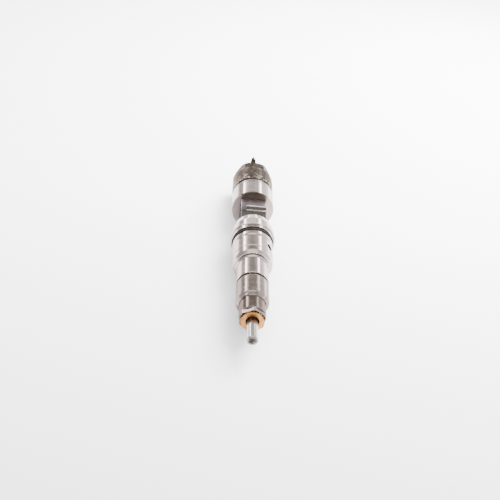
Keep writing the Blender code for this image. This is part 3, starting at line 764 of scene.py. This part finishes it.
def make_rear_end():
    """Flange, relief and cap thread."""
    return revolved("rear_end", softened([
        (BODY_BACK, 0, 0), (BODY_BACK, CAP_THREAD_RADIUS - 0.5), (BODY_BACK - 0.5, CAP_THREAD_RADIUS),
        (CAP_FRONT - 0.3, CAP_THREAD_RADIUS), (CAP_FRONT - 0.3, RELIEF_RADIUS),
        (FLANGE_BACK + 0.1, RELIEF_RADIUS), (FLANGE_BACK, 15.3, 0.1),
        (FLANGE_BACK - 0.3, FLANGE_RADIUS, 0.1), (FLANGE_BAND, FLANGE_RADIUS, 0),
        (NECK_BACK + 0.4, FLANGE_RADIUS), (NECK_BACK, 15.2), (NECK_BACK, 0, 0),
    ]))


def make_neck():
    """Square neck, with an index slot cut into its top from the right."""
    overlap = 1.0
    neck = skin("neck", [
        rounded_square(NECK_HALF_WIDTH, NECK_CORNER, station)
        for station in (NECK_FRONT - overlap, NECK_BACK + overlap)
    ])
    floor = NECK_HALF_WIDTH - SLOT_DEPTH
    lip = 0.35
    front = SLOT_FRONT - 5 * lip
    beyond = 20.0
    slot = skin("slot", [
        rectangle(SLOT_LEFT, beyond, SLOT_FRONT, SLOT_BACK - 2 * lip, floor),
        rectangle(SLOT_LEFT, beyond, SLOT_FRONT, SLOT_BACK - lip, NECK_HALF_WIDTH - lip),
        rectangle(SLOT_LEFT - lip, beyond, front, SLOT_BACK, NECK_HALF_WIDTH),
        rectangle(SLOT_LEFT - lip, beyond, front, SLOT_BACK, beyond),
    ])
    combine(neck, slot, "DIFFERENCE")
    return neck


def bore_body(body):
    """Cut the stepped bore along the axis, the inlet, and a small dimple in the flange's face."""
    combine(body, revolved("bore", [
        (BODY_BACK + 1, 0), (BODY_BACK + 1, SHIM_STEP_RADIUS), (SHIM_STEP, SHIM_STEP_RADIUS),
        (SHIM_STEP, CHAMBER_RADIUS), (CHAMBER_FRONT, CHAMBER_RADIUS), (CHAMBER_FRONT, VALVE_HEAD_BORE),
        (VALVE_HEAD_FRONT, VALVE_HEAD_BORE), (VALVE_HEAD_FRONT, VALVE_STEM_BORE),
        (VALVE_STEM_FRONT, VALVE_STEM_BORE), (VALVE_STEM_FRONT, PLUNGER_BORE_RADIUS),
        (SPRING_CHAMBER_BACK, PLUNGER_BORE_RADIUS), (SPRING_CHAMBER_BACK, SPRING_CHAMBER_RADIUS),
        (BODY_FRONT - 1, SPRING_CHAMBER_RADIUS), (BODY_FRONT - 1, 0),
    ], count=FINE), "DIFFERENCE")
    combine(body, turn_outwards(revolved("inlet", [
        (INLET_LAND_RADIUS + 2, 0), (INLET_LAND_RADIUS + 2, INLET_LIP_RADIUS + 0.2),
        (INLET_LAND_RADIUS + 0.05, INLET_LIP_RADIUS), (INLET_LAND_RADIUS - 0.3, INLET_MOUTH_RADIUS),
        (11.2, INLET_BORE_RADIUS), (5.6, INLET_BORE_RADIUS), (5.0, 0),
    ], count=48), INLET_ANGLE, INLET_STATION), "DIFFERENCE")
    combine(body, revolved("dimple", [
        (NECK_BACK + 0.6, 0), (NECK_BACK + 0.35, 0.5), (NECK_BACK - 1, 0.75), (NECK_BACK - 1, 0),
    ], count=24, z=11.0), "DIFFERENCE")


def make_body():
    """Stepped body. Its two turned ends and its square neck are joined, and then bored."""
    body = make_front_end()
    combine(body, make_rear_end(), "UNION")
    combine(body, make_neck(), "UNION")
    bore_body(body)
    turned_skin, band, flange_face, neck_top, neck_flank, gap, slot_wall = range(7)
    paints = [ground, band_steel_and_ledge_shade, face_milled, neck_top_with_reflection, neck_side, gap_shade, slot_edge_highlight]

    def choose(station, radius, face):
        height, normal = face.center.z / MM, face.normal
        outwards = face.center.x * math.sin(INLET_ANGLE) + face.center.z * math.cos(INLET_ANGLE)
        sideways = face.center.x * math.cos(INLET_ANGLE) - face.center.z * math.sin(INLET_ANGLE)
        from_inlet = math.hypot(station - INLET_STATION, sideways / MM)
        # Painted shade: the relief by the cap, the ring and taper grooves, the shoulder step and the
        # inlet's hollow take the near-black gap paint.
        if (
            FLANGE_BACK - 0.32 < station < CAP_FRONT
            or RING_GROOVE_FRONT < station < RING_GROOVE_BACK + 0.1 and radius < 14.5
            or TAPER_GROOVE_FRONT < station < TAPER_GROOVE_BACK - 0.05 and radius < 11.9
            or abs(station - BODY_SHOULDER) < 0.1
            or outwards > 0 and from_inlet < INLET_LIP_RADIUS and radius < INLET_LAND_RADIUS - 0.02
        ):
            return gap
        if abs(station - NECK_BACK) < 0.5 and radius > NECK_HALF_WIDTH:
            return flange_face
        if NECK_FRONT < station < NECK_BACK and radius < NECK_HALF_WIDTH * math.sqrt(2):
            slanted = 0.1 < abs(normal.y) < 0.99 and normal.z > 0.5
            # The slot's slanted walls and chamfers take the painted highlight.
            if SLOT_FRONT - 1.8 < station < SLOT_BACK + 0.2 and slanted:
                return slot_wall
            # Painted shade on the slot's floor.
            if height < NECK_HALF_WIDTH - SLOT_DEPTH + 0.2 and normal.z > 0.9:
                return gap
            return neck_top if normal.z > 0.5 else neck_flank
        return band if station > FLANGE_BAND - 0.1 else turned_skin

    finish_piece(body, "injector_body", paints, choose)


def make_nozzle_nut():
    """Union nut: a short hexagon, a neck and a larger threaded end."""
    def shape(station, radius, angle):
        if radius < NUT_BORE + 0.2:
            return radius
        flat = hexagon_radius(angle, NUT_HEX_FLATS, NUT_HEX_ANGLE)
        share = ramp_up(station, NUT_HEX_BACK, NUT_HEX_BACK + 0.12)
        return soft_min(radius, flat, 0.12) * (1 - share) + radius * share

    # Two points on the neck hold the step behind the hexagon, which is then divided finely.
    outline = softened([
        (NUT_BACK, NUT_RADIUS - 0.4, 0.1), (NUT_BACK - 1.5, NUT_RADIUS, 0.2), (17.6, NUT_RADIUS, 0.6),
        (NUT_NECK_BACK, NUT_NECK_RADIUS, 0.5), (NUT_HEX_BACK + 0.2, NUT_NECK_RADIUS, 0),
        (NUT_HEX_BACK - 0.1, NUT_NECK_RADIUS, 0), (NUT_FRONT + 0.5, NUT_NECK_RADIUS),
        (NUT_FRONT, 8.1, 0.1), (NUT_FRONT, NUT_HOLE_RADIUS, 0.3), (NUT_HOLE_BACK, NUT_HOLE_RADIUS),
        (NUT_HOLE_BACK, NUT_BORE), (18.4, NUT_BORE), (19.4, NUT_THREAD_BORE), (NUT_BACK, NUT_THREAD_BORE),
    ], ring=True)
    outline = refined(outline, 0.06, NUT_HEX_BACK - 0.5, NUT_HEX_BACK + 0.3)
    nut = revolved("nozzle_nut", outline, shape=shape, count=192)
    satin, neck, hexagon, gap, ledge = range(5)
    paints = [phosphated, nut_neck_shaded, nut_hexagon, gap_shade, band_steel_and_ledge_shade]

    def choose(station, radius, face):
        # Painted shade on the nut's front face and its back end.
        if station < NUT_FRONT + 0.2 and face.normal.y < -0.9 or station > NUT_BACK - 0.05:
            return gap
        # Painted shade: the step face behind the hexagon takes the darker band steel.
        if abs(station - NUT_HEX_BACK) < 0.3 and face.normal.y < -0.5 and radius > 7.0:
            return ledge
        if station < NUT_HEX_BACK:
            return hexagon
        return neck if station < NUT_NECK_BACK - 0.1 else satin

    finish_piece(nut, "nozzle_retaining_nut", paints, choose)


def make_nozzle():
    """Nozzle with its blind needle bore, conical tip and spray holes."""
    nozzle = revolved("nozzle_tip_body", softened([
        (-18.0, 0, 0), (-16.6, NEEDLE_SEAT_BORE), (-1.5, NEEDLE_SEAT_BORE), (-0.7, NEEDLE_BORE),
        (NOZZLE_TOP, NEEDLE_BORE, 0.15), (NOZZLE_TOP, 6.6, 0.15),
        (NOZZLE_TOP - 0.45, NOZZLE_COLLAR_RADIUS, 0.15), (NOZZLE_SHOULDER, NOZZLE_COLLAR_RADIUS),
        (NOZZLE_SHOULDER, NOZZLE_RADIUS, 0.3), (NOZZLE_CONE, NOZZLE_RADIUS, 0.35),
        (-19.1, 1.1, 0.3), (-19.6, 0.7, 0.3), (NOZZLE_TIP, 0, 0),
    ]), count=96)
    for i in range(SPRAY_HOLES):
        angle = math.tau * (i + 0.3) / SPRAY_HOLES
        rod = revolved("spray_hole", [(3.6, 0), (3.6, 0.11), (0.6, 0.11), (0.6, 0)], count=12)
        combine(nozzle, turn_outwards(rod, angle, SPRAY_STATION), "DIFFERENCE")
    finish_piece(nozzle, "nozzle_body", [nozzle_steel])


def make_washer():
    """Copper washer with a scalloped edge."""
    def shape(station, radius, angle):
        if radius < WASHER_RADIUS - 1:
            return radius
        return radius - TOOTH_DEPTH * (1 - abs(math.cos(WASHER_TEETH * angle / 2)) ** 1.4)

    washer = revolved("washer_copper", softened([
        (WASHER_BACK, WASHER_BORE, 0.12), (WASHER_BACK, WASHER_RADIUS, 0.2),
        (WASHER_FRONT, WASHER_RADIUS, 0.25), (WASHER_FRONT, WASHER_BORE, 0.2),
    ], ring=True), count=WASHER_TEETH * 12, shape=shape)
    finish_piece(washer, "copper_seal_washer", [copper])


def make_ring():
    """Sealing ring of round section."""
    middle = sum(station_span("body_o_ring")) / 2
    steps = 24
    section = []
    for i in range(steps):
        angle = math.tau * i / steps
        station = middle + RING_MINOR * math.cos(angle)
        section.append((station, RING_MAJOR + RING_MINOR * math.sin(angle)))
    finish_piece(revolved("sealing_ring", section), "body_o_ring", [rubber])


def make_cap():
    """Cap nut: a round skirt, a hexagon behind it and a stepped hole for the insulator."""
    inner_wall = CAP_BACK - CAP_WALL

    def shape(station, radius, angle):
        if radius < 12.4 or (station < CAP_HEX_FRONT and radius < 14):
            return radius
        flat = hexagon_radius(angle, CAP_HEX_FLATS, 0.0)
        share = ramp_up(station, CAP_HEX_FRONT - 0.2, CAP_HEX_FRONT + 0.4)
        return radius * (1 - share) + soft_min(radius, flat, 0.25) * share

    # Two points on the skirt hold the step ahead of the hexagon, which is then divided finely.
    recess_floor = CAP_BACK - 0.35
    outline = softened([
        (CAP_BACK, CAP_RIM_RADIUS, 0.3), (CAP_BACK - 1.0, 14.1, 0.6), (CAP_BACK - 3.2, CAP_RADIUS, 1.0),
        (CAP_HEX_FRONT + 0.7, CAP_RADIUS, 0), (CAP_HEX_FRONT - 0.5, CAP_RADIUS, 0),
        (CAP_FRONT + 0.4, CAP_RADIUS), (CAP_FRONT, CAP_RADIUS - 0.4), (CAP_FRONT, CAP_BORE),
        (CAP_STEP, CAP_BORE), (CAP_STEP, CAP_REAR_BORE), (inner_wall, CAP_REAR_BORE),
        (inner_wall, CAP_HOLE), (CAP_BACK - 0.5, CAP_HOLE, 0.1), (CAP_BACK, CAP_HOLE + 0.5, 0.1),
        (CAP_BACK, 10.6, 0.1), (recess_floor, 10.8, 0.1), (recess_floor, 12.0, 0.1), (CAP_BACK, 12.2, 0.1),
    ], ring=True)
    outline = refined(outline, 0.15, CAP_HEX_FRONT - 0.6, CAP_HEX_FRONT + 0.8)
    cap = revolved("cap_nut", outline, shape=shape, count=192)
    dark_skin, gap = range(2)

    def choose(station, radius, face):
        # Painted shade on the cap's front face and chamfer, by the flange.
        return gap if station < CAP_FRONT + 0.45 else dark_skin

    finish_piece(cap, "solenoid_cap_nut", [dark, gap_shade], choose)


def height_of(node):
    """Height of a node's middle above the injector's axis, in millimetres."""
    low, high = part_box(node)
    return (low.z + high.z) / 2 / MM


def make_insulator():
    """Terminal block, with a rib between the studs and a counterbored hole round each."""
    recess_floor = INSULATOR_BACK - 0.8
    block = revolved("terminal_block", softened([
        (recess_floor, 0, 0), (recess_floor, 6.9, 0.15), (INSULATOR_BACK, 7.0, 0.1),
        (INSULATOR_BACK, 8.1, 0.2), (INSULATOR_BACK - 0.6, INSULATOR_RADIUS, 0.2),
        (INSULATOR_FRONT, INSULATOR_RADIUS), (INSULATOR_FRONT, 0, 0),
    ]), count=96)
    half_width, half_height = 7.2, 0.75
    rib = skin("rib", [
        rectangle(-half_width, half_width, INSULATOR_BACK - 2.0, INSULATOR_BACK - 0.05, height)
        for height in (-half_height, half_height)
    ])
    combine(block, rib, "UNION")
    seat, seat_radius, hole_radius = INSULATOR_BACK - 0.5, 3.1, 1.55
    for node in ("terminal_stud_upper", "terminal_stud_lower"):
        hole = revolved("hole", [
            (INSULATOR_BACK + 1, 0), (INSULATOR_BACK + 1, seat_radius), (seat, seat_radius),
            (seat, hole_radius), (INSULATOR_FRONT - 1, hole_radius), (INSULATOR_FRONT - 1, 0),
        ], count=48, z=height_of(node))
        combine(block, hole, "DIFFERENCE")
    finish_piece(block, "terminal_insulator", [black_plastic])


def make_stud(node, name):
    """Threaded stud. Its thread is a real helix, which fades out at both ends."""
    thread_start, taper_start = STUD_COLLAR_BACK + 0.6, 196.0

    def shape(station, radius, angle):
        if station < STUD_COLLAR_BACK + 0.05:
            flat = hexagon_radius(angle, 4.9, 0.0)
            return soft_min(radius, flat, 0.1) if radius > 2.2 else radius
        turn = (station - thread_start) / STUD_PITCH - angle / math.tau
        depth = abs((turn % 1) - 0.5) * 2
        amount = ramp_up(station, thread_start, thread_start + 0.7)
        amount *= 1 - ramp_up(station, STUD_BACK - 2.2, STUD_BACK - 0.6)
        return radius - STUD_THREAD_DEPTH * amount * min(1.25 * depth, 1.0)

    outline = [
        (STUD_BACK, 0), (STUD_BACK, 0.85), (STUD_BACK - 0.25, 1.12), (taper_start, STUD_RADIUS),
        (STUD_COLLAR_BACK + 0.1, STUD_RADIUS), (STUD_COLLAR_BACK, 2.1), (STUD_COLLAR_BACK, 2.62),
        (STUD_COLLAR_BACK - 0.1, STUD_COLLAR_RADIUS), (STUD_COLLAR_FRONT + 0.1, STUD_COLLAR_RADIUS),
        (STUD_COLLAR_FRONT, 2.6), (STUD_COLLAR_FRONT, STUD_SHANK_RADIUS),
        (STUD_FOOT_BACK, STUD_SHANK_RADIUS), (STUD_FOOT_BACK, STUD_FOOT_RADIUS),
        (STUD_FRONT, STUD_FOOT_RADIUS), (STUD_FRONT, 0),
    ]
    outline = refined(outline, STUD_PITCH / 9, thread_start, STUD_BACK - 0.3)
    rod = revolved(name, outline, count=36, shape=shape, z=height_of(node))
    finish_piece(rod, node, [stud])


def paint_frame():
    """Give each CAD node that stays its material, and shade its turned faces smoothly."""
    for part in frame["record"]["subparts"]:
        node = frame["nodes"][part["node"]]
        if node.hide_render:
            continue
        node.data.materials.clear()
        node.data.materials.append(SLOT_PAINT[part["material_slot"]])
        shade(node)


make_body()
make_nozzle_nut()
make_nozzle()
make_washer()
make_ring()
make_cap()
make_insulator()
make_stud("terminal_stud_upper", "stud_upper")
make_stud("terminal_stud_lower", "stud_lower")
paint_frame()


# Studio ---------------------------------------------------------------------------------------------


def make_floor():
    """Pale table that the injector rests on, a little darker towards the front: painted shade standing in
    for the light falling off.
    """
    size = 6.0
    bpy.ops.mesh.primitive_plane_add(size=size, location=(0, 0, CAD_BOX[0].z))
    floor = bpy.context.object
    floor.name = "studio_floor"
    paint = Paint("studio_floor_matt", 0.0, Specular_IOR_Level=0.2)
    tone = paint.noise(6, detail=3.0)
    # Painted shade: the colour darkens towards the front, as the light would fall off.
    color = paint.ramp(
        paint.along(-320, 480),
        (0.0, (0.36, 0.35, 0.37)), (0.4, (0.71, 0.70, 0.716)), (0.6, (0.87, 0.868, 0.87)),
        (1.0, (0.93, 0.93, 0.93)),
    )
    color = paint.mixed(paint.ranged(tone, 0.3, 0.7, 0.0, 0.03), color, (0.7, 0.7, 0.7))
    floor.data.materials.append(paint.finish(color, paint.ranged(tone, 0.3, 0.7, 0.6, 0.7)))


def make_world():
    """Studio that the steel mirrors: a grey gap above, with bright strips on both sides."""
    world = bpy.data.worlds.new("studio")
    bpy.context.scene.world = world
    world.use_nodes = True
    nodes, links = world.node_tree.nodes, world.node_tree.links
    turned = nodes.new("ShaderNodeVectorRotate")
    turned.rotation_type = "Y_AXIS"
    turned.inputs["Angle"].default_value = CAMERA_ROLL
    links.new(nodes.new("ShaderNodeTexCoord").outputs["Generated"], turned.inputs["Vector"])
    split = nodes.new("ShaderNodeSeparateXYZ")
    links.new(turned.outputs[0], split.inputs[0])
    x, y, z = split.outputs

    def maths(operation, a, b=0.0):
        node = nodes.new("ShaderNodeMath")
        node.operation = operation
        for socket, value in ((0, a), (1, b)):
            if isinstance(value, bpy.types.NodeSocket):
                links.new(value, node.inputs[socket])
            else:
                node.inputs[socket].default_value = value
        return node.outputs[0]

    def graded(value, brightest, *stops):
        """Brightness by value, smooth between stops of (value, brightness)."""
        node = nodes.new("ShaderNodeValToRGB")
        node.color_ramp.interpolation = "EASE"
        set_stops(node, [(place, level / brightest) for place, level in stops])
        links.new(value, node.inputs[0])
        return maths("MULTIPLY", node.outputs[0], brightest)

    # Angle round the injector's axis: 0 on the left, 0.5 straight above and 1 on the right.
    roll = maths("ADD", maths("DIVIDE", maths("ARCTAN2", x, z), math.pi), 0.5)
    room = graded(
        roll, 6.0,
        (0.0, 2.4), (0.07, 1.4), (0.16, 1.0), (0.222, 1.0), (0.30, 0.9), (0.40, 0.66), (0.5, 0.66),
        (0.62, 0.70), (0.70, 1.2), (0.765, 2.6), (0.85, 2.5), (0.93, 3.0), (1.0, 4.2),
    )
    left_strip = graded(
        roll, 26.0, (0.218, 0.0), (0.228, 24.0), (0.250, 26.0), (0.268, 8.0), (0.31, 1.6), (0.38, 0.0),
    )
    right_strip = graded(
        roll, 26.0, (0.66, 0.0), (0.72, 2.0), (0.745, 12.0), (0.757, 26.0), (0.778, 24.0), (0.790, 0.0),
    )
    # The strips fill only the directions near the axis, ahead and behind.
    lengthways = maths("ABSOLUTE", y)
    left_strip = maths("MULTIPLY", left_strip, graded(lengthways, 1.0, (0.66, 0.0), (0.74, 1.0)))
    right_strip = maths("MULTIPLY", right_strip, graded(lengthways, 1.0, (0.77, 0.0), (0.82, 1.0)))
    low = maths(
        "MULTIPLY",
        graded(z, 4.0, (0.0, 4.0), (0.28, 3.2), (0.40, 1.9), (0.50, 0.7), (0.57, 0.0)),
        graded(roll, 1.0, (0.3, 0.0), (0.4, 1.0), (0.6, 1.0), (0.7, 0.0)),
    )
    overhead = graded(
        roll, 3.0, (0.25, 1.2), (0.33, 1.5), (0.40, 3.0), (0.60, 3.0), (0.67, 1.7), (0.75, 1.6),
    )
    above = graded(z, 1.0, (0.60, 0.0), (0.76, 1.0))
    side = maths("ADD", maths("ADD", room, low), maths("ADD", left_strip, right_strip))
    side = maths("MULTIPLY", side, maths("SUBTRACT", 1.0, above))
    strength = maths("ADD", side, maths("MULTIPLY", overhead, above))
    links.new(strength, nodes["Background"].inputs["Strength"])

    tint = nodes.new("ShaderNodeValToRGB")
    warm, lavender, cool = (1.0, 0.985, 0.97), (0.98, 0.945, 1.0), (0.93, 0.965, 1.0)
    set_stops(tint, ((0.22, lavender), (0.40, warm), (0.62, warm), (0.80, cool)))
    links.new(roll, tint.inputs[0])
    links.new(tint.outputs[0], nodes["Background"].inputs["Color"])


def make_lights():
    """Two soft boxes for the table, behind and overhead. The steel doesn't mirror them."""
    for name, size, energy, place in (
        ("back_softbox", 0.6, 56.0, (0.42, 0.38, 0.60)),
        ("top_softbox", 1.6, 30.0, (0.0, 0.1, 1.3)),
    ):
        lamp = bpy.data.lights.new(name, "AREA")
        lamp.size = size
        lamp.energy = energy
        box = bpy.data.objects.new(name, lamp)
        bpy.context.scene.collection.objects.link(box)
        box.location = place
        box.rotation_euler = (-Vector(place)).to_track_quat("-Z", "Y").to_euler()
        box.visible_glossy = False


def make_camera():
    """Camera ahead of the nozzle and above it, turned a little round the injector's axis."""
    focal_length = 55.0
    ahead, above = 355.7, 292.8
    pitch = math.radians(34.07)
    side_shift = -0.00488
    data = bpy.data.cameras.new("camera")
    data.lens = focal_length
    data.shift_x = side_shift
    data.clip_start = 0.01
    camera = bpy.data.objects.new("camera", data)
    bpy.context.scene.collection.objects.link(camera)
    up = Vector((-math.sin(CAMERA_ROLL), 0, math.cos(CAMERA_ROLL)))
    along = Vector((0, 1, 0))
    forward = along * math.cos(pitch) - up * math.sin(pitch)
    top = along * math.sin(pitch) + up * math.cos(pitch)
    right = forward.cross(top)
    turn = Matrix((right, top, -forward)).transposed().to_4x4()
    place = around(0, 0, -ahead) + up * above * MM
    camera.matrix_world = Matrix.Translation(place) @ turn
    bpy.context.scene.camera = camera


make_floor()
make_world()
make_lights()
make_camera()

bpy.context.view_layer.update()
